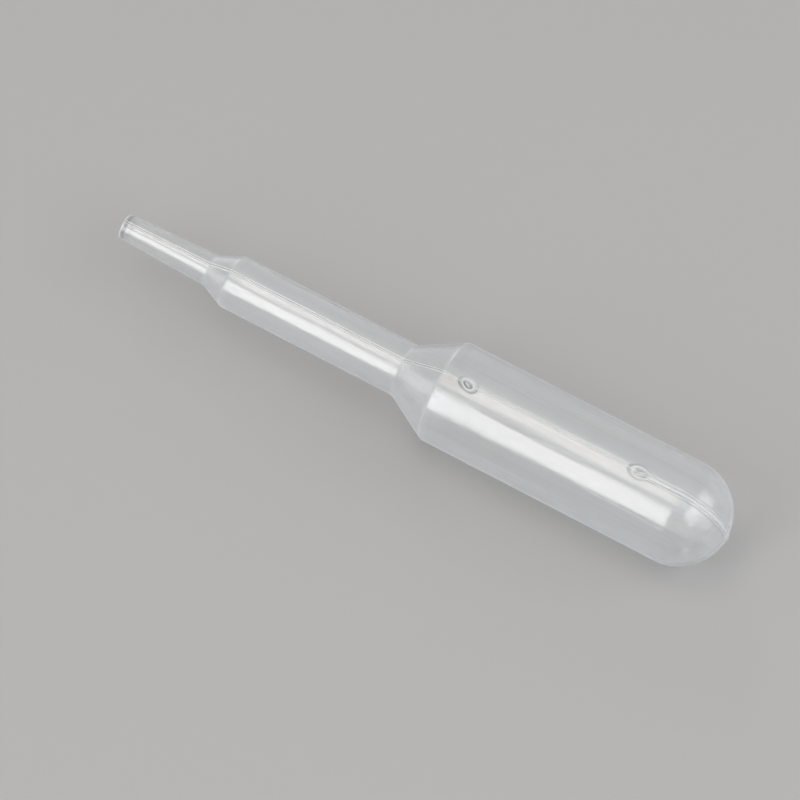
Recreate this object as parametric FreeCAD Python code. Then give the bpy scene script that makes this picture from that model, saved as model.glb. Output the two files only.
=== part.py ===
"""Dropper pipette: one blow-moulded piece of soft, milky plastic, open at the tip and closed at the dome.

The pipette lies on its bulb, as it comes to rest on a table. Its axis runs along +X from the cut tip
to the dome, +Z is up, and the origin is at the middle of the bottom of its box. Millimetres.
"""
import FreeCAD, Part
import math
import os

Vector = FreeCAD.Vector

# ---------------------------------------------------------------- driving dimensions
# Lengths along the axis, from the cut tip to the dome, which is half a ball of the bulb's radius.
tip_length = 11.1
lower_cone_length = 2.75
stem_length = 21.75
shoulder_length = 5.1
bulb_length = 28.8

# Outside radii. The stem and the bulb are cylinders, and the tip widens towards its root.
tip_end_radius = 1.45
tip_root_radius = 1.87
stem_radius = 3.09
bulb_radius = 5.9

# Walls. The wide bulb was blown out further than the stem, so its wall is thinner.
tip_end_wall = 0.30
tip_root_wall = 0.36
stem_wall = 0.40
bulb_wall = 0.32

# Rounds of the creases between the stretches. The inside never touched the mould, so it is softer.
tip_root_round = 0.5
stem_start_round = 0.6
stem_end_round = 0.5
bulb_start_round = 0.7
inside_softening = 1.6

# The two halves of the mould met in the parting plane, which holds the axis. As the pipette lies, the
# plane leans from upright by this angle, which keeps both of its lines clear of the table.
parting_lean = 15.5
stem_line_width = 0.36
stem_line_height = 0.06
bulb_line_width = 0.20
bulb_line_height = 0.04

# The mould pinched the soft tube shut over the dome. The weld is a ridge that is widest at the middle
# of the wall and stands proud of it outside and inside, on a low flat land. It begins before the dome.
weld_lead = 4.6
weld_width = 0.75
weld_height = 0.18
weld_crest_width = 0.16
weld_inside_height = 0.15
weld_inside_crest_width = 0.30
weld_land_width = 0.95
weld_land_height = 0.07

# Where the torn-off flash ended, each parting line has a small dimpled knot: one where the weld
# begins, and one this far past the shoulder.
knot_setback = 3.1
knot_length = 1.9
knot_width = 1.2
knot_height = 0.15
dimple_width = 0.6
dimple_depth = 0.09

# The soft bulb gives a little where it lies, so a narrow flat runs along its underside.
rest_flat_depth = 0.015

# ---------------------------------------------------------------- places along the axis
stem_start = tip_length + lower_cone_length
stem_end = stem_start + stem_length
bulb_start = stem_end + shoulder_length
dome_start = bulb_start + bulb_length
weld_start = dome_start - weld_lead
knot_places = [bulb_start + knot_setback, weld_start]

box_length = dome_start + bulb_radius + weld_height
axis_height = bulb_radius - rest_flat_depth

AXIS_START = Vector(0, 0, 0)
ALONG = Vector(1, 0, 0)
ACROSS = Vector(0, 1, 0)
UP = Vector(0, 0, 1)

# Depths of a surface inside the outer one, at the tip's end, the tip's root, the stem and the bulb.
walls = [tip_end_wall, tip_root_wall, stem_wall, bulb_wall]
mid_walls = [wall / 2 for wall in walls]
outer_surface = [0, 0, 0, 0]


# ---------------------------------------------------------------- outlines
def rounded_corner(before, corner, after, radius):
    """Start, middle and end of the tangent arc that rounds a corner of an outline."""
    back = (before - corner).normalize()
    ahead = (after - corner).normalize()
    half_angle = back.getAngle(ahead) / 2
    reach = radius / math.tan(half_angle)
    inward = (back + ahead).normalize()
    centre = corner + inward * (radius / math.sin(half_angle))
    return corner + back * reach, centre - inward * radius, corner + ahead * reach


def outline(depths, softening=1):
    """Edges of one surface's outline, from the tip to the top of the dome."""
    tip_end_depth, tip_root_depth, stem_depth, bulb_depth = depths
    corners = [
        Vector(0, 0, tip_end_radius - tip_end_depth),
        Vector(tip_length, 0, tip_root_radius - tip_root_depth),
        Vector(stem_start, 0, stem_radius - stem_depth),
        Vector(stem_end, 0, stem_radius - stem_depth),
        Vector(bulb_start, 0, bulb_radius - bulb_depth),
        Vector(dome_start, 0, bulb_radius - bulb_depth),
    ]
    rounds = [tip_root_round, stem_start_round, stem_end_round, bulb_start_round]
    edges = []
    reached = corners[0]
    for index, radius in enumerate(rounds, start=1):
        start, middle, end = rounded_corner(*corners[index - 1:index + 2], radius * softening)
        edges.append(Part.LineSegment(reached, start).toShape())
        edges.append(Part.Arc(start, middle, end).toShape())
        reached = end
    edges.append(Part.LineSegment(reached, corners[-1]).toShape())
    edges.append(dome_arc(bulb_radius - bulb_depth))
    return edges


def dome_arc(radius):
    """A quarter circle, from the end of the bulb's wall to the top of the dome."""
    centre = ALONG * dome_start
    halfway = (ALONG + UP).normalize()
    return Part.Arc(centre + UP * radius, centre + halfway * radius, centre + ALONG * radius).toShape()


def turned_between(outer_depths, inner_depths, inner_softening=1):
    """The solid of revolution between two surfaces."""
    outer = outline(outer_depths)
    inner = outline(inner_depths, inner_softening)
    open_end = Part.LineSegment(outer[0].Vertexes[0].Point, inner[0].Vertexes[0].Point).toShape()
    dome_top = Part.LineSegment(outer[-1].Vertexes[-1].Point, inner[-1].Vertexes[-1].Point).toShape()
    edges = outer + inner + [open_end, dome_top]
    section = Part.Face(Part.Wire(Part.__sortEdges__(edges)))
    return section.revolve(AXIS_START, ALONG, 360)


def other_side(shape):
    """The same feature on the opposite parting line."""
    return shape.mirror(AXIS_START, UP)


# ---------------------------------------------------------------- moulded features, plane upright
def raised_band(start, end, width, height):
    """A flat-topped line along both parting lines, sunk to the middle of the wall."""
    skin = turned_between([-height] * len(walls), mid_walls)
    slab_height = 3 * bulb_radius
    slab = Part.makeBox(end - start, width, slab_height, Vector(start, -width / 2, -slab_height / 2))
    return skin.common(slab)


def weld_ridge():
    """The ridge of the pinch weld, from one parting line over the dome to the other."""
    half_section = [
        (weld_crest_width / 2, bulb_radius + weld_height),
        (weld_width / 2, bulb_radius - bulb_wall / 2),
        (weld_inside_crest_width / 2, bulb_radius - bulb_wall - weld_inside_height),
    ]
    centre = ALONG * dome_start
    one_side = [centre + ACROSS * across + UP * height for across, height in half_section]
    opposite = [centre - ACROSS * across + UP * height for across, height in reversed(half_section)]
    section = Part.Face(Part.makePolygon(one_side + opposite + one_side[:1]))
    over_dome = section.revolve(centre, ACROSS, 180)
    lead = section.extrude(ALONG * -weld_lead)
    return over_dome.fuse([lead, other_side(lead)])


def cap_radius(width, height):
    """Radius of the ball whose cap has this width and height."""
    return (width ** 2 / 4 + height ** 2) / (2 * height)


def knot(place):
    """A low oval boss on the upper parting line, with a dimple in its top."""
    radius = cap_radius(knot_width, knot_height)
    straight = knot_length - knot_width
    top = ALONG * place + UP * (bulb_radius + knot_height)
    middle = top - UP * radius
    ends = [middle - ALONG * straight / 2, middle + ALONG * straight / 2]
    boss = Part.makeCylinder(radius, straight, ends[0], ALONG)
    boss = boss.fuse([Part.makeSphere(radius, end) for end in ends]).removeSplitter()
    skin = turned_between([-2 * knot_height] * len(walls), mid_walls)
    dimple = cap_radius(dimple_width, dimple_depth)
    dimple_ball = Part.makeSphere(dimple, top + UP * (dimple - dimple_depth))
    return boss.common(skin).cut(dimple_ball)


# ---------------------------------------------------------------- the pipette
def pipette():
    """The whole moulded piece, with its parting plane upright."""
    shell = turned_between(outer_surface, walls, inside_softening)
    raised = [
        raised_band(0, bulb_start, stem_line_width, stem_line_height),
        raised_band(bulb_start, weld_start, bulb_line_width, bulb_line_height),
        raised_band(weld_start, box_length, weld_land_width, weld_land_height),
        weld_ridge(),
    ]
    for place in knot_places:
        raised.append(knot(place))
        raised.append(other_side(knot(place)))
    return shell.fuse(raised).removeSplitter()


def laid_on_table(shape):
    """Leans the parting plane, flattens the underside and centres the box on the origin."""
    shape.rotate(AXIS_START, ALONG, parting_lean)
    corner = Vector(0, -bulb_radius, -axis_height - bulb_radius)
    under_table = Part.makeBox(box_length, 2 * bulb_radius, bulb_radius, corner)
    lying = shape.cut(under_table)
    lying.translate(ALONG * -box_length / 2 + UP * axis_height)
    return lying


os.makedirs("parts", exist_ok=True)
body = laid_on_table(pipette())
body.exportStep("parts/pipette_body.step")
print("pipette_body", len(body.Solids), "solid", round(body.Volume, 3), "mm3", body.BoundBox)
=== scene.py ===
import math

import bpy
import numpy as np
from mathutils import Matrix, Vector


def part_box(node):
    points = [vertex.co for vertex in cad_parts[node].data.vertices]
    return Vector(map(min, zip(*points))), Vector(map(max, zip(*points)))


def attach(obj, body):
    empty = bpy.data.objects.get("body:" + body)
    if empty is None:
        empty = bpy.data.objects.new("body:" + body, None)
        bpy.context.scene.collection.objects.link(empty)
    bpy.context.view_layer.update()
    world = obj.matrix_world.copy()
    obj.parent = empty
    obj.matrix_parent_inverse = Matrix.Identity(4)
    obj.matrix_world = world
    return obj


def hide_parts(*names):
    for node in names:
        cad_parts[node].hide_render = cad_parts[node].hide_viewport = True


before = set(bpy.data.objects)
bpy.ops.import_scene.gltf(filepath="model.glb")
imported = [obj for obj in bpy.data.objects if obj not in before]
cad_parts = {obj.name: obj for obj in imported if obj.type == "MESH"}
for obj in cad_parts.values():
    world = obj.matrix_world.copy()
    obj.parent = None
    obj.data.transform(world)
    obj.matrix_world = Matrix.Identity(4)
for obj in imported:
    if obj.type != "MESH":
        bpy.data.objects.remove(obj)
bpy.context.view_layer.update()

# %% [markdown]
# # A dropper pipette of soft, milky plastic
#
# The real pipette is blown from one short tube of hot low-density polyethylene: a mould shapes the
# outside, air presses the plastic against it, and the two halves of the mould leave a line where they
# met. It could be modelled by bending a cylinder into shape by eye, but a blown part is a solid of
# revolution with a few raised marks, so it is made here as on a lathe: one outline, spun round the
# axis, with the mould's marks added as heights.
#
# This first step reads the engineering model's box, which every later size has to stay inside.

MM = 0.001

cad_low, cad_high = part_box("pipette_body")
print("box, mm:", [round(v / MM, 3) for v in cad_high - cad_low])

# %% [markdown]
# ## Sizes
#
# Each stretch of the pipette has one length and one outside radius, and the wall gets thinner where
# the tube was blown out further. Kept together, the sizes can be changed in one place. The inside
# never touched the mould, so its corners are softer than the outside's.

# %% Sizes of the pipette, in millimetres
TIP_LENGTH, LOWER_CONE_LENGTH, STEM_LENGTH = 11.1, 2.75, 21.75
SHOULDER_LENGTH, BULB_LENGTH, WELD_LEAD, KNOT_SETBACK = 5.1, 28.8, 4.6, 3.1
RADII = {"tip end": 1.45, "tip root": 1.87, "stem": 3.09, "bulb": 5.9}
WALLS = {"tip end": 0.30, "tip root": 0.36, "stem": 0.40, "bulb": 0.32}
CREASE_ROUNDS = (0.5, 0.6, 0.5, 0.7)
INSIDE_SOFTENING = 1.6
CUT_EDGE_ROUND = 0.04
AXIS_HEIGHT = 5.885
PARTING_LEAN = math.radians(15.5)
WELD_TOP = 0.18

STEM_START = TIP_LENGTH + LOWER_CONE_LENGTH
STEM_END = STEM_START + STEM_LENGTH
BULB_START = STEM_END + SHOULDER_LENGTH
DOME_START = BULB_START + BULB_LENGTH
WELD_START = DOME_START - WELD_LEAD
FIRST_KNOT = BULB_START + KNOT_SETBACK
FULL_LENGTH = DOME_START + RADII["bulb"] + WELD_TOP
print("the bulb starts at", BULB_START, "and the whole pipette is", round(FULL_LENGTH, 3), "long")

# %% [markdown]
# ## Rounded corners for an outline
#
# A lathe needs its outline as points. A curve object with a bevel could round the corners, but then
# the points fall where Blender puts them. A short function that swaps a corner for an arc keeps the
# corner's exact radius, and the number of points is ours to choose.

# %% A corner swapped for an arc
def rounded(corners, rounds, steps=8):
    """The outline through the corners, with an arc of the given radius in place of each inner one."""
    points = [corners[0]]
    for before, corner, after, radius in zip(corners, corners[1:], corners[2:], rounds):
        corner = Vector(corner)
        back = (Vector(before) - corner).normalized()
        ahead = (Vector(after) - corner).normalized()
        half = back.angle(ahead) / 2
        centre = corner + (back + ahead).normalized() * radius / math.sin(half)
        first = corner + back * radius / math.tan(half) - centre
        last = corner + ahead * radius / math.tan(half) - centre
        for step in range(steps + 1):
            share = step / steps
            turn = math.pi - 2 * half
            spoke = (first * math.sin((1 - share) * turn) + last * math.sin(share * turn)) / math.sin(turn)
            points.append(tuple(centre + spoke))
    points.append(corners[-1])
    return points


print("one rounded corner has", len(rounded([(0, 0), (1, 0), (1, 1)], [0.2])) - 2, "points")

# %% [markdown]
# ## Closer points where there is more to show
#
# The straight runs need few points. The knots that the mould left need many, because their small
# rings are pushed out of this same mesh, and so does the cut end, to keep its white lip and the dark
# band behind it narrow. So each gap of the outline is divided by how far apart the points may be at that
# place.

# %% Points added to the long gaps
CLOSE, WIDE = 0.085, 0.75
CUT_MARKS_END = 0.85
KNOT_REACH, EYE_BEFORE, EYE_PAST = 1.35, 1.4, 1.9


def inside_gap(x):
    """How far apart the points of the inside may be at x."""
    return CLOSE if x < CUT_MARKS_END else WIDE


def outside_gap(x):
    """The same for the outside, which has the knots."""
    if abs(x - FIRST_KNOT) < KNOT_REACH or -EYE_BEFORE < x - WELD_START < EYE_PAST:
        return CLOSE
    return inside_gap(x)


def filled(points, gap_at):
    """The same outline, with points added on the gaps that are too long."""
    dense = [points[0]]
    for (x0, r0), (x1, r1) in zip(points, points[1:]):
        reached, length = 0.0, math.hypot(x1 - x0, r1 - r0)
        while length > 1e-9 and reached < length:
            here = min(gap_at(x0 + (x1 - x0) * reached / length), length - reached)
            ahead = gap_at(x0 + (x1 - x0) * min(1.0, (reached + here) / length))
            reached += min(here, max(ahead, CLOSE))
            share = min(1.0, reached / length)
            dense.append((x0 + (x1 - x0) * share, r0 + (r1 - r0) * share))
    return dense


print("a gap of 2 mm becomes", len(filled([(20, 1), (22, 1)], inside_gap)) - 1, "gaps")

# %% [markdown]
# ## Both faces of the wall in one outline
#
# The pipette is hollow and its wall is thin. A single surface with the Solidify modifier would give it
# a wall of one thickness, but here the thickness changes along the axis. So the outline goes up the
# outside to the top of the dome, and back down the inside to the open tip. Every point also keeps the
# way its surface faces, along which the mould's marks will be pushed out.

# %% The outline of the wall
DOME_STEPS, INSIDE_DOME_STEPS = 40, 30


def face_corners(depths):
    """Corners of one face of the wall, which lies depths inside the outer one."""
    end, root, stem, bulb = (RADII[k] - depths[k] for k in RADII)
    return [(0, end), (TIP_LENGTH, root), (STEM_START, stem), (STEM_END, stem),
            (BULB_START, bulb), (DOME_START, bulb)]


def dome(radius, steps):
    """The quarter circle over the end of the bulb, up to the axis."""
    angles = [math.pi / 2 * k / steps for k in range(1, steps + 1)]
    arc = [(DOME_START + radius * math.sin(a), radius * math.cos(a)) for a in angles]
    return arc[:-1] + [(DOME_START + radius, 0.0)]


outer = face_corners(dict.fromkeys(RADII, 0.0))
inner = face_corners(WALLS)
mid_cut = (0, (outer[0][1] + inner[0][1]) / 2)
rounds_out = (CUT_EDGE_ROUND, *CREASE_ROUNDS)
rounds_in = (CUT_EDGE_ROUND, *(r * INSIDE_SOFTENING for r in CREASE_ROUNDS))
outside = filled(rounded([mid_cut, *outer], rounds_out), outside_gap) + dome(RADII["bulb"], DOME_STEPS)
inside = filled(rounded([mid_cut, *inner], rounds_in), inside_gap)
inside = (inside + dome(RADII["bulb"] - WALLS["bulb"], INSIDE_DOME_STEPS))[::-1]
print("points on the outside:", len(outside), "and on the inside:", len(inside))

# %% The outline as a mesh with its own attributes
def facings(points):
    """Unit vectors across the outline, on the side that is on the left when walking along it."""
    line = np.array(points)
    along = np.gradient(line, axis=0)
    along[0], along[-1] = line[1] - line[0], line[-1] - line[-2]
    across = np.stack([-along[:, 1], along[:, 0]], axis=1)
    return across / np.linalg.norm(across, axis=1, keepdims=True)


def with_square_pole(directions, pole):
    """The facings with the one at the axis turned straight along it."""
    directions[pole] = (np.sign(directions[pole][0]), 0.0)
    return directions


outline_points = outside + inside
outline_facings = np.concatenate(
    [with_square_pole(facings(outside), -1), with_square_pole(facings(inside), 0)]
)
outline_mesh = bpy.data.meshes.new("pipette_outline")
outline_mesh.from_pydata([(x, 0.0, r) for x, r in outline_points], [], [])
facing_store = outline_mesh.attributes.new("facing", "FLOAT_VECTOR", "POINT")
for store, (along, outward) in zip(facing_store.data, outline_facings):
    store.vector = (along, 0.0, outward)
face_store = outline_mesh.attributes.new("on_outside", "FLOAT", "POINT")
face_store.data.foreach_set("value", [1.0] * len(outside) + [0.0] * len(inside))
pole_store = outline_mesh.attributes.new("at_pole", "FLOAT", "POINT")
pole_store.data.foreach_set("value", [float(r < 1e-6) for _, r in outline_points])
print("outline:", len(outline_mesh.vertices), "points, each with its own facing")

# %% [markdown]
# ## Arithmetic that builds nodes
#
# Geometry Nodes can do the spinning and the raised marks live, from named sizes. Wiring every Math
# node by hand makes long and unreadable code. This small class stands for a number that flows through
# a node tree, so `a * b + c` in Python adds the Multiply and Add nodes and links them.

# %% A number that flows through a node tree
def join(value, socket):
    """Links a flowing number to a socket, or sets a plain value on it."""
    if isinstance(value, Flow):
        socket.id_data.links.new(value.socket, socket)
    else:
        socket.default_value = value


class Flow:
    """A number that flows through a node tree. Arithmetic on it adds Math nodes."""

    def __init__(self, socket):
        self.socket = socket

    def math(self, operation, *others):
        node = self.socket.id_data.nodes.new("ShaderNodeMath")
        node.operation = operation
        for value, socket in zip((self, *others), node.inputs):
            join(value, socket)
        return Flow(node.outputs[0])

    def step(self, start, end, low=0.0, high=1.0, smooth=True):
        """low before start, high after end, and an even change between them."""
        node = self.socket.id_data.nodes.new("ShaderNodeMapRange")
        node.interpolation_type = "SMOOTHSTEP" if smooth else "LINEAR"
        for name, value in zip(("Value", "From Min", "From Max", "To Min", "To Max"),
                               (self, start, end, low, high)):
            join(value, node.inputs[name])
        return Flow(node.outputs["Result"])

    def __add__(self, other):
        return self.math("ADD", other)

    def __sub__(self, other):
        return self.math("SUBTRACT", other)

    def __rsub__(self, other):
        return (self * -1.0).math("ADD", other)

    def __mul__(self, other):
        return self.math("MULTIPLY", other)

    def __truediv__(self, other):
        return self.math("DIVIDE", other)


print("methods of a flowing number:", ", ".join(k.strip("_") for k, v in vars(Flow).items() if callable(v)))

# %% Nodes, inputs and outputs of a Geometry Nodes tree
def empty_tree(name, inputs):
    """A tree that takes a mesh and the named (name, kind, value) inputs and gives a mesh."""
    tree = bpy.data.node_groups.new(name, "GeometryNodeTree")
    tree.is_modifier = True
    tree.interface.new_socket("Geometry", in_out="INPUT", socket_type="NodeSocketGeometry")
    tree.interface.new_socket("Geometry", in_out="OUTPUT", socket_type="NodeSocketGeometry")
    for label, kind, value in inputs:
        socket = tree.interface.new_socket(label, in_out="INPUT", socket_type="NodeSocket" + kind)
        if value is not None:
            socket.default_value = value
    return tree, tree.nodes.new("NodeGroupInput"), tree.nodes.new("NodeGroupOutput")


def node(tree, kind, inputs=(), **settings):
    """A new node with its settings and the (socket name or number, value or socket) inputs."""
    made = tree.nodes.new(kind)
    for name, value in settings.items():
        setattr(made, name, value)
    for name, value in dict(inputs).items():
        if isinstance(value, bpy.types.NodeSocket):
            tree.links.new(value, made.inputs[name])
        else:
            join(value, made.inputs[name])
    return made


print("helpers for node trees are ready")

# %% [markdown]
# ## The lathe
#
# A grid has one row for each point of the outline and one column for each step round the axis. Every
# grid point looks up its row's outline point and is turned by its column's angle. The columns are
# crowded together near the two mould lines, where the small marks are, and spread out elsewhere: the
# whole piece then needs about a sixth of the faces that even columns of that fineness would.

# %% Inputs of the lathe tree
LATHE_INPUTS = [
    ("Steps Around", "Int", 176),
    ("Crowding", "Float", 0.42),
    ("Lean", "Float", PARTING_LEAN),
    ("Axis Height", "Float", AXIS_HEIGHT),
    ("Middle", "Float", FULL_LENGTH / 2),
    ("Stem Line Width", "Float", 0.36),
    ("Stem Line Height", "Float", 0.075),
    ("Bulb Line Width", "Float", 0.20),
    ("Bulb Line Height", "Float", 0.04),
    ("Weld Height", "Float", 0.178),
    ("Weld Inside Height", "Float", 0.15),
    ("Land Width", "Float", 0.95),
    ("Land Height", "Float", 0.06),
    ("Knot Height", "Float", 0.11),
    ("Wall Unevenness", "Float", 0.03),
    ("Seed", "Float", 4.0),
    ("Material", "Material", None),
]
lathe, given, result = empty_tree("pipette_lathe", LATHE_INPUTS)
size = {label: Flow(given.outputs[label]) for label, kind, _ in LATHE_INPUTS if kind != "Material"}
print("inputs:", ", ".join(size))

# %% The grid, and the outline point and angle of each grid point
rows = node(lathe, "GeometryNodeAttributeDomainSize", {"Geometry": given.outputs["Geometry"]})
columns = size["Steps Around"] + 1.0
grid = node(lathe, "GeometryNodeMeshGrid",
            {"Size X": 1.0, "Size Y": 1.0, "Vertices X": rows.outputs["Point Count"],
             "Vertices Y": columns})
index = Flow(node(lathe, "GeometryNodeInputIndex").outputs[0])
row = (index / columns).math("FLOOR")
column = index - row * columns
turn_share = column / size["Steps Around"]
angle = turn_share * math.tau - (turn_share * (2 * math.tau)).math("SINE") * size["Crowding"]


def looked_up(kind, source):
    """What the outline holds at this grid point's row."""
    sample = node(lathe, "GeometryNodeSampleIndex",
                  {"Geometry": given.outputs["Geometry"], "Value": source, "Index": row},
                  data_type=kind)
    return sample.outputs["Value"]


def stored(kind, name):
    """An attribute of the outline mesh, by name."""
    reader = node(lathe, "GeometryNodeInputNamedAttribute", data_type=kind)
    reader.inputs["Name"].default_value = name
    return reader.outputs["Attribute"]


def parts_of(vector):
    """The three numbers of a vector, as flowing numbers."""
    return [Flow(s) for s in node(lathe, "ShaderNodeSeparateXYZ", {0: vector}).outputs]


place = node(lathe, "GeometryNodeInputPosition").outputs[0]
x, _, radius = parts_of(looked_up("FLOAT_VECTOR", place))
facing_x, _, facing_r = parts_of(looked_up("FLOAT_VECTOR", stored("FLOAT_VECTOR", "facing")))
on_outside = Flow(looked_up("FLOAT", stored("FLOAT", "on_outside")))
at_pole = Flow(looked_up("FLOAT", stored("FLOAT", "at_pole")))
sine, cosine = angle.math("SINE"), angle.math("COSINE")
side = radius * sine
off_plane = side.math("ABSOLUTE")
print("nodes so far:", len(lathe.nodes))

# %% [markdown]
# ## The mould's lines
#
# Where the halves of the mould met, a low flat-topped line runs along both sides. It is broad enough
# on the stem to show as two bright edges, and fine on the bulb. Its height depends only on how far a
# point is from the plane in which the mould parted, so one smooth step for each edge makes it. A
# bump in the material could fake it, but real geometry also shows at the outline.

# %% Heights of the mould lines
LINE_EDGE = 0.06
STEM_LINE_START, STEM_LINE_END = -5.0, BULB_START + 0.8
GROOVE_HALF_WIDTH, GROOVE_EDGE, GROOVE_DEPTH = 0.07, 0.08, 0.035


def bar(distance, half_width, softness):
    """1 within half_width of the middle, and 0 outside it."""
    return distance.step(half_width - softness / 2, half_width + softness / 2, 1.0, 0.0)


def stretch(start, end, fade):
    """1 between two places on the axis."""
    return x.step(start - fade / 2, start + fade / 2) * x.step(end - fade / 2, end + fade / 2, 1.0, 0.0)


on_stem = stretch(STEM_LINE_START, STEM_LINE_END, 1.2)
stem_top = bar(off_plane, size["Stem Line Width"] / 2, LINE_EDGE)
stem_groove = bar(off_plane, GROOVE_HALF_WIDTH, GROOVE_EDGE)
stem_line = (stem_top * size["Stem Line Height"] + stem_groove * -GROOVE_DEPTH) * on_stem
bulb_line = bar(off_plane, size["Bulb Line Width"] / 2, LINE_EDGE) * size["Bulb Line Height"]
bulb_line = bulb_line * stretch(STEM_LINE_END, WELD_START, 1.0)
print("nodes with the mould lines:", len(lathe.nodes))

# %% [markdown]
# ## The weld over the dome
#
# The mould also pinches the soft tube shut. Over the dome that leaves a sharp ridge between two soft
# beads, on a low flat land. Where the torn-off flash ended, the beads close into a rounded eye, and two
# short ridges of torn plastic lie askew in it. An ellipse's own measure, which is 1 on its edge, gives
# the eye. The same measure with another width carries on into the beads, which come closest at a neck
# just past the eye.

# %% Heights of the weld and of its eye
EYE_HALF_LENGTH, EYE_HALF_WIDTH, NECK_HALF_WIDTH, BEADS_APART = 0.98, 0.56, 0.29, 0.385
EYE_HEIGHT, BEAD_HEIGHT, EYE_DEPTH = 0.085, 0.03, 0.07
EYE_MOAT_DEPTH, WELD_MOAT_DEPTH = 0.03, 0.01
NECK_PLACE, APART_PLACE = 1.4, 4.2
TEAR_PLACE, TEAR_HALF_LENGTH, TEAR_HALF_WIDTH = 0.10, 0.50, 0.10
TEAR_SHIFT, TEAR_SLANT, TEARS_APART, TEAR_HEIGHT = -0.08, 0.28, 0.12, 0.10
LAND_EDGE, CREST_HALF_WIDTH, CREST_FOOT = 0.08, 0.05, 0.20


def round_bead(measure, half_width):
    """1 where the measure is 1, falling to 0 within half_width on both sides."""
    return (measure - 1.0).math("ABSOLUTE").step(0.0, half_width, 1.0, 0.0)


past_weld = x - WELD_START
bead_spread = past_weld.step(0.0, NECK_PLACE, EYE_HALF_WIDTH, NECK_HALF_WIDTH)
bead_spread = bead_spread + past_weld.step(NECK_PLACE, APART_PLACE, 0.0, BEADS_APART - NECK_HALF_WIDTH)
before = (past_weld / EYE_HALF_LENGTH).math("MINIMUM", 0.0)
eye = ((before * before) + (off_plane / bead_spread).math("POWER", 2.0)).math("SQRT")
bead_height = past_weld.step(0.3, 2.0, EYE_HEIGHT, BEAD_HEIGHT)
beads = round_bead(eye, past_weld.step(0.0, EYE_PAST, 0.24, 0.34)) * bead_height
moat = round_bead(eye - 0.45, 0.25) * past_weld.step(1.0, 2.4, -EYE_MOAT_DEPTH, -WELD_MOAT_DEPTH)
in_eye = eye.step(0.25, 0.85, 1.0, 0.0) * past_weld.step(0.2, 1.0, -EYE_DEPTH, 0.0)
land = bar(off_plane, size["Land Width"] / 2, LAND_EDGE) * size["Land Height"]
land = land * past_weld.step(0.3, 1.4)
crest_rise = size["Weld Height"] - size["Land Height"]
crest = off_plane.step(CREST_HALF_WIDTH, CREST_FOOT, 1.0, 0.0) * crest_rise * past_weld.step(0.5, 1.5)
tear_along = (past_weld - TEAR_PLACE) / TEAR_HALF_LENGTH
off_tears = (side - TEAR_SHIFT - past_weld * TEAR_SLANT).math("ABSOLUTE") - TEARS_APART
tear_across = off_tears / TEAR_HALF_WIDTH
torn_in_eye = (tear_along * tear_along + tear_across * tear_across).math("SQRT")
torn_in_eye = torn_in_eye.step(0.4, 1.2, 1.0, 0.0) * TEAR_HEIGHT
weld = beads + moat + in_eye + land + crest + torn_in_eye
print("nodes with the weld:", len(lathe.nodes))

# %% [markdown]
# ## The knot on the bulb
#
# The first knot stands where the line from the stem ends on the bulb. It is an oval boss with a dimple
# in its top and a short ridge of torn plastic in the dimple, again from ellipses' measures. Soft plastic
# never tears off evenly, so the ovals are skewed, made uneven by a noise, and off the middle. Even rings
# would look like a target.

# %% Height of the dimpled knot
KNOT_HALF_LENGTH, KNOT_HALF_WIDTH, KNOT_ROUNDING = 0.98, 0.66, 0.28
DIMPLE_HALF_LENGTH, DIMPLE_HALF_WIDTH, DIMPLE_SHIFT, DIMPLE_DEPTH = 0.70, 0.40, -0.07, 0.11
RIDGE_HALF_LENGTH, RIDGE_HALF_WIDTH, RIDGE_SHIFT, RIDGE_SLANT, RIDGE_HEIGHT = 0.50, 0.13, -0.09, 0.22, 0.09
KNOT_MOAT_DEPTH, DEEPER_NEAR_SIDE = 0.035, 1.2
SKEW, LUMPINESS = 0.16, 0.6
noise_on_knot = node(lathe, "ShaderNodeCombineXYZ", {"X": x * 0.7, "Y": side * 0.8, "Z": cosine * 2.0})
lumps = node(lathe, "ShaderNodeTexNoise",
             {"Vector": noise_on_knot.outputs[0], "W": size["Seed"], "Scale": 1.0, "Detail": 0.0},
             noise_dimensions="4D")
skewed_side = side + (x - FIRST_KNOT) * SKEW + (Flow(lumps.outputs[0]) - 0.5) * LUMPINESS


def oval(half_length, half_width, shift_across=0.0, slant=0.0):
    """0 at the centre of an uneven oval on the knot, and 1 on its edge."""
    along_axis = x - FIRST_KNOT
    across_axis = (skewed_side - shift_across + along_axis * slant) / half_width
    along_axis = along_axis / half_length
    return (along_axis * along_axis + across_axis * across_axis).math("SQRT")


knot_edge = oval(KNOT_HALF_LENGTH, KNOT_HALF_WIDTH)
dimple_edge = oval(DIMPLE_HALF_LENGTH, DIMPLE_HALF_WIDTH, DIMPLE_SHIFT)
ridge_edge = oval(RIDGE_HALF_LENGTH, RIDGE_HALF_WIDTH, RIDGE_SHIFT, RIDGE_SLANT)
near_side = 1.0 - skewed_side * DEEPER_NEAR_SIDE
boss = knot_edge.step(0.78, 1.0, 1.0, 0.0)
boss_height = boss * size["Knot Height"] * (1.0 - knot_edge * knot_edge * KNOT_ROUNDING)
dimple = dimple_edge.step(0.70, 1.05, 1.0, 0.0) * near_side * -DIMPLE_DEPTH
torn_ridge = ridge_edge.step(0.5, 1.2, 1.0, 0.0) * RIDGE_HEIGHT
ring_moat = round_bead(knot_edge - 0.2, 0.2) * near_side * -KNOT_MOAT_DEPTH
knot = boss_height + dimple + torn_ridge + ring_moat
mark_height = (stem_line + bulb_line + weld + knot) * on_outside
print("nodes with all the marks:", len(lathe.nodes))

# %% [markdown]
# ## An uneven inside
#
# Blown plastic is never even inside: the wall has long shallow streaks from the tube it was made of.
# Noise that is stretched along the axis moves the inner face by a few hundredths of a millimetre, which
# makes the second reflection in the wall slightly wavy. Over the weld, the inside has a soft bead.

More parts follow.
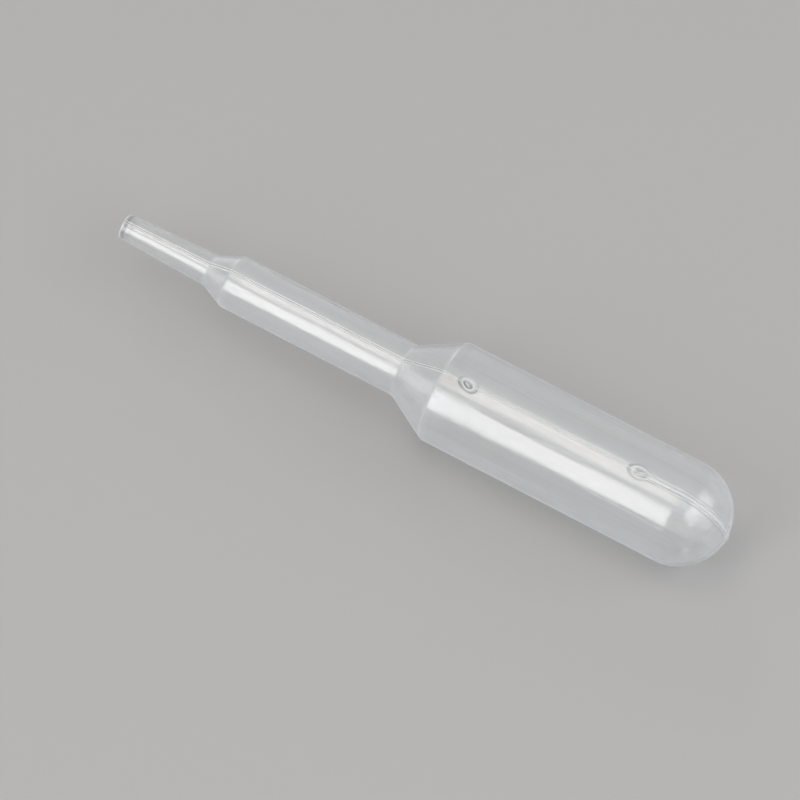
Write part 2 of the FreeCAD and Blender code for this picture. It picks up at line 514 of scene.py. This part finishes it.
# %% Heights on the inner face
STREAKS_ALONG, STREAKS_ROUND = 0.05, 2.6
INSIDE_BEAD_HALF_WIDTH, INSIDE_BEAD_EDGE = 0.17, 0.20
noise_place = node(lathe, "ShaderNodeCombineXYZ",
                   {"X": x * STREAKS_ALONG, "Y": sine * STREAKS_ROUND, "Z": cosine * STREAKS_ROUND})
streaks = node(lathe, "ShaderNodeTexNoise",
               {"Vector": noise_place.outputs[0], "W": size["Seed"], "Scale": 1.0, "Detail": 2.0},
               noise_dimensions="4D")
unevenness = (Flow(streaks.outputs[0]) - 0.5) * 2.0 * size["Wall Unevenness"] * (1.0 - at_pole)
inside_bead = bar(off_plane, INSIDE_BEAD_HALF_WIDTH, INSIDE_BEAD_EDGE) * size["Weld Inside Height"]
inside_bead = inside_bead * past_weld.step(-0.3, 0.8)
inside_height = (inside_bead + unevenness) * (1.0 - on_outside)
height = mark_height * x.step(0.0, 0.3) + inside_height * x.step(0.5, 2.0)
print("nodes with the inside:", len(lathe.nodes))

# %% [markdown]
# ## Where the plastic is milkier, and where shade is painted
#
# Thick plastic scatters more light than a thin wall, so what is raised looks whiter than the rest, and
# what is sunk looks clearer. Below 0 the material also paints shade: the clear plastic is greyer in the
# grooves, moats and hollows, in place of the dark lines that their steep sides would bend into view. The
# blade also leaves a fine white lip where it cut the tip, and just behind it a band of painted shade stands
# for the dark look of the bent edge. A separate painted map could say so, but here the heights already
# know most of it: they are kept as an attribute of the mesh, and the material reads it. 1 is a full mark,
# -1 a deep groove with the darkest painted shade, and only the cut goes above 1.
#
# A second attribute marks the bore of the tip. It is seen lengthways through the open end, where the haze
# of so much wall would close the hole to the eye, so it gets less haze.

# %% An attribute for the milkier places and the painted shade
FULL_MARK, FULL_KNOT = 0.06, 0.05
# Below 0 the grooves, moats and hollows get thinner haze and painted shade, a greyer clear plastic
GROOVE_CLEARING, MOAT_CLEARING, EYE_CLEARING = 1.25, 1.4, 0.6
CREST_MILK, INSIDE_BEAD_MILK, CREASE_MILK, SHADE_BEHIND_LIP = 0.6, 2.0, 0.25, 0.5


def near(where, within):
    """1 at a place on the axis, falling to 0 within this length on both sides."""
    return (x - where).math("ABSOLUTE").step(0.0, within, 1.0, 0.0)


creases = near(TIP_LENGTH, 0.2) + near(STEM_START, 0.22) + near(STEM_END, 0.22) + near(BULB_START, 0.28)
white_lip = x.step(0.03, 0.15, 1.0, 0.0)
# Painted shade: a dark band just behind the white lip, which greys the clear plastic there
shade_behind_lip = stretch(0.26, 0.62, 0.18)
on_lines = (stem_top - stem_groove * GROOVE_CLEARING) * on_stem + bulb_line / FULL_MARK
on_weld = beads + torn_in_eye + crest * CREST_MILK + moat * MOAT_CLEARING + in_eye * EYE_CLEARING
marks = (on_lines + on_weld / FULL_MARK) * knot_edge.step(0.95, 1.1) + knot / FULL_KNOT - boss
marks = (marks * on_outside).math("MINIMUM", 1.0).math("MAXIMUM", -1.0)
milk_and_painted_shade = (marks + inside_bead * INSIDE_BEAD_MILK + creases * CREASE_MILK).math("MINIMUM", 1.0)
milk_and_painted_shade = milk_and_painted_shade + white_lip - shade_behind_lip * SHADE_BEHIND_LIP
in_bore = stretch(0.25, TIP_LENGTH, 0.3) * (1.0 - on_outside)
print("nodes with the milkier places:", len(lathe.nodes))

# %% [markdown]
# ## From heights to a closed mesh
#
# Now each grid point gets its place: out along its facing by its height, turned round the axis, leaned
# as the pipette lies, and moved to the box. A soft bulb gives a little where it lies, so nothing may
# go below the table. The grid's first and last columns, its rows at the tip and the points at the two
# poles lie on each other, and merging them closes the mesh. The faces between the poles go first.

# %% The end of the lathe tree
SAME_PLACE = 0.0002 * MM
reach = radius + facing_r * height
leaned = angle - size["Lean"]
point = node(lathe, "ShaderNodeCombineXYZ", {
    "X": (x + facing_x * height - size["Middle"]) * MM,
    "Y": reach * leaned.math("SINE") * MM,
    "Z": (reach * leaned.math("COSINE") + size["Axis Height"]).math("MAXIMUM", 0.0) * MM,
})
shaped = grid.outputs["Mesh"]
for name, value in (("pole_share", at_pole), ("milk_and_painted_shade", milk_and_painted_shade), ("in_bore", in_bore)):
    keeper = node(lathe, "GeometryNodeStoreNamedAttribute",
                  {"Geometry": shaped, "Name": name, "Value": value},
                  data_type="FLOAT", domain="POINT")
    shaped = keeper.outputs[0]
placed = node(lathe, "GeometryNodeSetPosition", {"Geometry": shaped, "Position": point.outputs[0]})
merged = node(lathe, "GeometryNodeMergeByDistance",
              {"Geometry": placed.outputs[0], "Distance": SAME_PLACE})
pole_share = node(lathe, "GeometryNodeInputNamedAttribute", {"Name": "pole_share"}, data_type="FLOAT")
between_poles = node(lathe, "FunctionNodeCompare",
                     {"A": Flow(pole_share.outputs["Attribute"]), "B": 0.9},
                     data_type="FLOAT", operation="GREATER_THAN")
closed = node(lathe, "GeometryNodeDeleteGeometry",
              {"Geometry": merged.outputs[0], "Selection": between_poles.outputs[0]},
              domain="EDGE", mode="EDGE_FACE")
smooth = node(lathe, "GeometryNodeSetShadeSmooth", {"Geometry": closed.outputs[0]})
real = node(lathe, "GeometryNodeRealizeInstances", {"Geometry": smooth.outputs[0]})
dressed = node(lathe, "GeometryNodeSetMaterial",
               {"Geometry": real.outputs[0], "Material": given.outputs["Material"]})
lathe.links.new(dressed.outputs[0], result.inputs[0])
print("nodes in the lathe:", len(lathe.nodes))

# %% [markdown]
# ## The plastic
#
# Soft polyethylene is clear with a little milk in it. Light bends as it goes in and out of the wall,
# which draws the double line along each edge and makes the mould's marks sparkle. A Volume shader would
# be the true way to scatter it, but a wall of 0.3 mm needs very many samples for that. So each face of
# the wall is glass, and a share of it is a thin white haze, about a third of which shines through.
#
# The haze is denser where the view grazes the wall, since the line of sight is longer there, and in the
# milkier places. It scatters blue a little more than red. The tube's faint streaks run along the axis,
# so their noise is stretched that way.

# %% Streaks and clouds in the plastic
plastic = bpy.data.materials.new("milky_plastic")
plastic.use_nodes = True
mat = plastic.node_tree
mat.nodes.clear()
coords = node(mat, "ShaderNodeTexCoord")


def stretched_noise(scales, detail):
    """Noise on the object's own coordinates, with a scale for each axis, per metre."""
    mapping = node(mat, "ShaderNodeMapping", {"Vector": coords.outputs["Object"], "Scale": scales})
    made = node(mat, "ShaderNodeTexNoise",
                {"Vector": mapping.outputs[0], "Scale": 1.0, "Detail": detail})
    return Flow(made.outputs[0]) - 0.5


fine_streaks = stretched_noise((60.0, 2600.0, 2600.0), 4.0)
broad_streaks = stretched_noise((25.0, 500.0, 500.0), 2.0)
clouds = stretched_noise((160.0, 160.0, 160.0), 3.0)
print("nodes for streaks and clouds:", len(mat.nodes))

# %% How much haze
HAZE_LEVEL, HAZE_AT_EDGES, HAZE_IN_THICK, HAZE_IN_GROOVES = 0.14, 0.90, 0.65, -0.12
HAZE_NARROWING, HAZE_MOST, CLEARER_IN_BORE = 2.7, 0.96, 0.65
BROAD_STREAK_HAZE, FINE_STREAK_HAZE = 0.16, 0.10
facing = Flow(node(mat, "ShaderNodeLayerWeight", {"Blend": 0.5}).outputs["Facing"])
# The attribute is milk above 0, and below 0 it is also painted shade
milkier = Flow(node(mat, "ShaderNodeAttribute", attribute_name="milk_and_painted_shade").outputs["Fac"])
haze_share = facing.math("POWER", HAZE_NARROWING) * HAZE_AT_EDGES + HAZE_LEVEL
haze_share = haze_share + milkier.step(0.0, 1.0, 0.0, HAZE_IN_THICK, smooth=False)
haze_share = haze_share + milkier.step(-1.0, 0.0, HAZE_IN_GROOVES, 0.0, smooth=False)
haze_share = haze_share + broad_streaks * BROAD_STREAK_HAZE + fine_streaks * FINE_STREAK_HAZE
haze_share = haze_share.math("MINIMUM", HAZE_MOST)
deep_inside = Flow(node(mat, "ShaderNodeAttribute", attribute_name="in_bore").outputs["Fac"])
haze_share = haze_share * (1.0 - deep_inside * CLEARER_IN_BORE)
print("haze on one face seen square on:", HAZE_LEVEL)

# %% White haze, part of it lit from behind, and most of it at the cut
BLUISH_MILK, WHITE_MILK = (0.87, 0.915, 0.95, 1.0), (0.92, 0.945, 0.965, 1.0)
SHINES_THROUGH, SHINES_THROUGH_AT_CUT = 0.35, 0.9
milk = node(mat, "ShaderNodeMixRGB", {"Fac": clouds + 0.5, "Color1": BLUISH_MILK, "Color2": WHITE_MILK})
lit = node(mat, "ShaderNodeBsdfDiffuse", {"Color": milk.outputs[0]})
lit_through = node(mat, "ShaderNodeBsdfTranslucent", {"Color": milk.outputs[0]})
lit_through_share = milkier.step(1.0, 2.0, SHINES_THROUGH, SHINES_THROUGH_AT_CUT)
haze = node(mat, "ShaderNodeMixShader",
            {0: lit_through_share, 1: lit.outputs[0], 2: lit_through.outputs[0]})
print("share of the haze that shines through:", SHINES_THROUGH, "and at the cut", SHINES_THROUGH_AT_CUT)

# %% [markdown]
# ## A skin with two kinds of gloss
#
# A moulded skin has a sharp reflection with a soft glow round it. One roughness can't give both, so the
# clear share is two glasses of one refractive index: most of it nearly smooth, and the rest rougher.
# The steep sides of a groove bend the view away to where it is dark. They are finer than a face of the
# mesh can be, so that dark is painted instead: the clear plastic is greyer, as painted shade, in the
# grooves, moats and hollows and in the band behind the cut lip.

# %% Smooth and soft glass
# The second colour is painted shade, for the grooves, moats, hollows and the band behind the lip
CLEAR, PAINTED_SHADE_GREY = (0.992, 0.994, 0.995, 1.0), (0.52, 0.53, 0.54, 1.0)
SHARP_ROUGHNESS, SOFT_ROUGHNESS, SOFT_SHARE, REFRACTIVE_INDEX = 0.035, 0.28, 0.22, 1.51
FINE_LINES, BROAD_LINES, LINE_DEPTH = 2.0, 8.0, 0.012 * MM
draw_lines = fine_streaks * FINE_LINES + broad_streaks * BROAD_LINES
grain = node(mat, "ShaderNodeBump", {"Height": draw_lines, "Distance": LINE_DEPTH, "Strength": 1.0})
# Painted shade: the clear plastic turns grey where the attribute is below 0
painted_shade_share = milkier.step(-1.0, 0.0, 1.0, 0.0, smooth=False)
clear_with_painted_shade = node(mat, "ShaderNodeMixRGB",
                    {"Fac": painted_shade_share, "Color1": CLEAR, "Color2": PAINTED_SHADE_GREY})


def glass(roughness):
    """Nearly colourless polyethylene with this roughness, greyed as painted shade below 0."""
    return node(mat, "ShaderNodeBsdfGlass",
                {"Color": clear_with_painted_shade.outputs[0], "Roughness": roughness, "IOR": REFRACTIVE_INDEX,
                 "Normal": grain.outputs[0]}).outputs[0]


clear = node(mat, "ShaderNodeMixShader",
             {0: SOFT_SHARE, 1: glass(SHARP_ROUGHNESS), 2: glass(SOFT_ROUGHNESS)})
wall = node(mat, "ShaderNodeMixShader", {0: haze_share, 1: clear.outputs[0], 2: haze.outputs[0]})
print("roughness of the two glasses:", SHARP_ROUGHNESS, "and", SOFT_ROUGHNESS)

# %% [markdown]
# ## Light that reaches the table
#
# Cycles finds lamps by shadow rays, which glass stops, so clear glass would throw a black shadow. The
# usual cure lets shadow rays straight through a tinted Transparent shader. The tint is darker where a
# ray grazes the wall, so the pipette's soft shadow is darkest along its edges. The rays that leave a
# matt surface get the same treatment, or the table would count the lamps' light twice.

# %% The finished material
TINT_SQUARE_ON, DARKER_AT_EDGES = 0.95, 0.5
tint = facing.math("POWER", 2.0) * -DARKER_AT_EDGES + TINT_SQUARE_ON
grey = node(mat, "ShaderNodeCombineColor", {"Red": tint, "Green": tint, "Blue": tint})
let_through = node(mat, "ShaderNodeBsdfTransparent", {"Color": grey.outputs[0]})
ray = node(mat, "ShaderNodeLightPath")
finished = wall
for kind in ("Is Diffuse Ray", "Is Shadow Ray"):
    finished = node(mat, "ShaderNodeMixShader",
                    {0: ray.outputs[kind], 1: finished.outputs[0], 2: let_through.outputs[0]})
node(mat, "ShaderNodeOutputMaterial", {"Surface": finished.outputs[0]})
print("nodes in the plastic:", len(mat.nodes))

# %% [markdown]
# ## Spinning the outline
#
# A Geometry Nodes modifier is live: its mesh exists only while Blender evaluates it. The modifier's
# inputs are set by their sockets' identifiers, the evaluated result is kept as a plain mesh, and the
# object that carried the modifier is removed.

# %% Spinning the outline and keeping the result as a plain mesh
def plain_mesh(name, source, tree, values):
    """An object whose mesh is what the tree makes of the source mesh, with no modifier left."""
    holder = bpy.data.objects.new(name + "_holder", source)
    bpy.context.scene.collection.objects.link(holder)
    modifier = holder.modifiers.new("shape", "NODES")
    modifier.node_group = tree
    for item in tree.interface.items_tree:
        if item.in_out == "INPUT" and item.name in values:
            modifier[item.identifier] = values[item.name]
    spun = bpy.data.meshes.new_from_object(holder.evaluated_get(bpy.context.evaluated_depsgraph_get()))
    bpy.data.objects.remove(holder)
    spun.name = name
    made = bpy.data.objects.new(name, spun)
    bpy.context.scene.collection.objects.link(made)
    return made


lathe_values = {label: value for label, _, value in LATHE_INPUTS} | {"Material": plastic}
pipette = plain_mesh("dropper_pipette", outline_mesh, lathe, lathe_values)
pipette.data.attributes.remove(pipette.data.attributes["pole_share"])
corners_per_face = [p.loop_total for p in pipette.data.polygons]
print("faces:", len(corners_per_face), "triangles:", sum(c - 2 for c in corners_per_face))

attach(pipette, "root")
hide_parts("pipette_body")

# %% [markdown]
# ## The table
#
# A plain pale table, so large that its edges never show. It lies a hair below the pipette: the flat
# underside of the bulb would otherwise share its plane, and Cycles can't tell which of the two comes
# first.

# %% A plain pale table
TABLE_HALF, TABLE_GAP = 3.0, 0.02 * MM
TABLE_COLOUR, TABLE_ROUGHNESS, TABLE_GLOSS = (0.43, 0.432, 0.436), 0.8, 0.2
table_material = bpy.data.materials.new("pale_table")
table_material.use_nodes = True
table_surface = table_material.node_tree.nodes["Principled BSDF"]
table_surface.inputs["Base Color"].default_value = (*TABLE_COLOUR, 1.0)
table_surface.inputs["Roughness"].default_value = TABLE_ROUGHNESS
table_surface.inputs["Specular IOR Level"].default_value = TABLE_GLOSS

table_mesh = bpy.data.meshes.new("table")
table_corners = [(-1, -1), (1, -1), (1, 1), (-1, 1)]
table_points = [(along * TABLE_HALF, across * TABLE_HALF, -TABLE_GAP) for along, across in table_corners]
table_mesh.from_pydata(table_points, [], [(0, 1, 2, 3)])
table_mesh.materials.append(table_material)
table = bpy.data.objects.new("table", table_mesh)
bpy.context.scene.collection.objects.link(table)
print("the table is", 2 * TABLE_HALF, "m wide")

# %% [markdown]
# ## Softboxes
#
# A glossy tube mirrors each lamp as one long stripe, so the lamps are chosen by the stripes that they
# make. A lamp's place is given as two ranges of angles: its tilt along the pipette, and its elevation
# over the camera's side. The lamp in front makes the white stripe and the one overhead the warmer one
# beside it, with a narrow gap. Two lamps past the dome make the patch of light on the dome, and a weak
# one past the tip makes the patches on the two cones. The last one is low and behind. It lights the haze
# along the far edge, from between the angles that the tubes and the cones mirror. The lower one past the
# dome is weak too, because a low view from the tip's end sees it in the tubes, and a surface mirrors
# much more when it is seen at a shallow angle.
#
# Each lamp is set by its radiance, which is how bright it looks. Its power follows from its size. What
# all of them and the room give a white card on the table is printed, because colours render about as
# they are written when the card gets 1. The sum counts each lamp as if it were small and far away, so
# it comes out a little high for lamps as near as these.

# %% Lamps by the angles they fill
LAMP_DISTANCE = 1.2


def toward(tilt, elevation):
    """A direction that leans along the axis by tilt, at this elevation on the camera's side."""
    t, e = math.radians(tilt), math.radians(elevation)
    return Vector((math.sin(t), -math.cos(t) * math.cos(e), math.cos(t) * math.sin(e)))


def softbox(name, tilts, elevations, radiance, colour=(1.0, 1.0, 1.0)):
    """A rectangular lamp that fills the two ranges of angles. Gives what it adds to a white card."""
    tilt, elevation = sum(tilts) / 2, sum(elevations) / 2
    rise = (elevations[1] - elevations[0]) * math.cos(math.radians(tilt))
    data = bpy.data.lights.new(name, "AREA")
    data.shape = "RECTANGLE"
    data.size = 2 * LAMP_DISTANCE * math.tan(math.radians(tilts[1] - tilts[0]) / 2)
    data.size_y = 2 * LAMP_DISTANCE * math.tan(math.radians(rise) / 2)
    data.energy = radiance * math.pi * data.size * data.size_y
    data.color = colour
    lamp = bpy.data.objects.new(name, data)
    lamp.visible_camera = False
    bpy.context.scene.collection.objects.link(lamp)
    away = toward(tilt, elevation)
    across = (Vector((1, 0, 0)) - away * away.x).normalized()
    turned = Matrix((across, away.cross(across), away)).transposed().to_4x4()
    lamp.matrix_world = Matrix.Translation(away * LAMP_DISTANCE) @ turned
    return radiance * data.size * data.size_y / LAMP_DISTANCE ** 2 * away.z / math.pi


light_level = softbox("front_softbox", (-27, -3), (12, 53), 5.5)
light_level += softbox("top_softbox", (-27, -3), (65, 98), 2.85, (1.0, 0.88, 0.77))
light_level += softbox("right_softbox", (31, 64), (36, 146), 2.95)
light_level += softbox("low_right_softbox", (64, 83), (36, 112), 1.35)
light_level += softbox("left_softbox", (-75, -60), (4, 64), 1.6)
light_level += softbox("back_softbox", (-44, -29), (132, 168), 4.0)
print("the lamps give a white card", round(light_level, 2))

# %% [markdown]
# ## The room
#
# The world gives a weak even light, like that of a room with dark walls. What is seen past the table's
# edge, straight or mirrored or through the plastic, is a pale backdrop instead. Light Path tells the
# two kinds of ray apart, so the pale backdrop adds no light. The backdrop ends some way up, and the
# darker room above it is what gives the bends in clear plastic their dark lines.

# %% The room and its backdrop
ROOM_COLOUR, BACKDROP_COLOUR = (0.12, 0.122, 0.126), (0.52, 0.522, 0.526)
BACKDROP_TOP, BACKDROP_FADE = 0.4, 0.1
room = bpy.data.worlds.new("room")
bpy.context.scene.world = room
room.use_nodes = True
room_ray = node(room.node_tree, "ShaderNodeLightPath")
seen_ray = Flow(room_ray.outputs["Is Camera Ray"])
for kind in ("Is Glossy Ray", "Is Transmission Ray"):
    seen_ray = seen_ray.math("MAXIMUM", Flow(room_ray.outputs[kind]))
direction = node(room.node_tree, "ShaderNodeTexCoord").outputs["Generated"]
height_seen = Flow(node(room.node_tree, "ShaderNodeSeparateXYZ", {0: direction}).outputs["Z"])
below_top = height_seen.step(BACKDROP_TOP - BACKDROP_FADE, BACKDROP_TOP + BACKDROP_FADE, 1.0, 0.0)
seen_ray = seen_ray * below_top
room_colour = node(room.node_tree, "ShaderNodeMixRGB",
                   {"Fac": seen_ray, "Color1": (*ROOM_COLOUR, 1.0), "Color2": (*BACKDROP_COLOUR, 1.0)})
room_light = room.node_tree.nodes["Background"]
room.node_tree.links.new(room_colour.outputs[0], room_light.inputs["Color"])
print("with the room, a white card gets", round(light_level + ROOM_COLOUR[1], 2))

# %% [markdown]
# ## The camera
#
# The camera looks down on the pipette from the side of the dome, at about 55 degrees, through a long
# lens that keeps the tube's edges nearly parallel. Its place and its three directions are written out,
# because aiming it at a point with Track To would not set how the picture is turned about its middle.

# %% The camera
CAMERA_PLACE = (0.140524, -0.331005, 0.512303)
CAMERA_RIGHT = (0.86467974, 0.49600777, 0.07940558)
CAMERA_UP = (-0.44756016, 0.6889522, 0.57011821)
CAMERA_BACK = (0.22807641, -0.52850844, 0.81771632)
LENS, SENSOR, NEAREST, FARTHEST = 257.6, 36.0, 0.01, 20.0
camera_data = bpy.data.cameras.new("camera")
camera_data.lens, camera_data.sensor_width = LENS, SENSOR
camera_data.clip_start, camera_data.clip_end = NEAREST, FARTHEST
camera = bpy.data.objects.new("camera", camera_data)
bpy.context.scene.collection.objects.link(camera)
camera_turn = Matrix((CAMERA_RIGHT, CAMERA_UP, CAMERA_BACK)).transposed().to_4x4()
camera.matrix_world = Matrix.Translation(CAMERA_PLACE) @ camera_turn
bpy.context.scene.camera = camera
bpy.context.scene.view_settings.view_transform = "Standard"
print("the camera looks down at", round(math.degrees(math.asin(CAMERA_BACK[2])), 1), "degrees")

# %% [markdown]
# ## The sizes, once more
#
# The finished pipette has to fill the engineering model's box and not leave it.
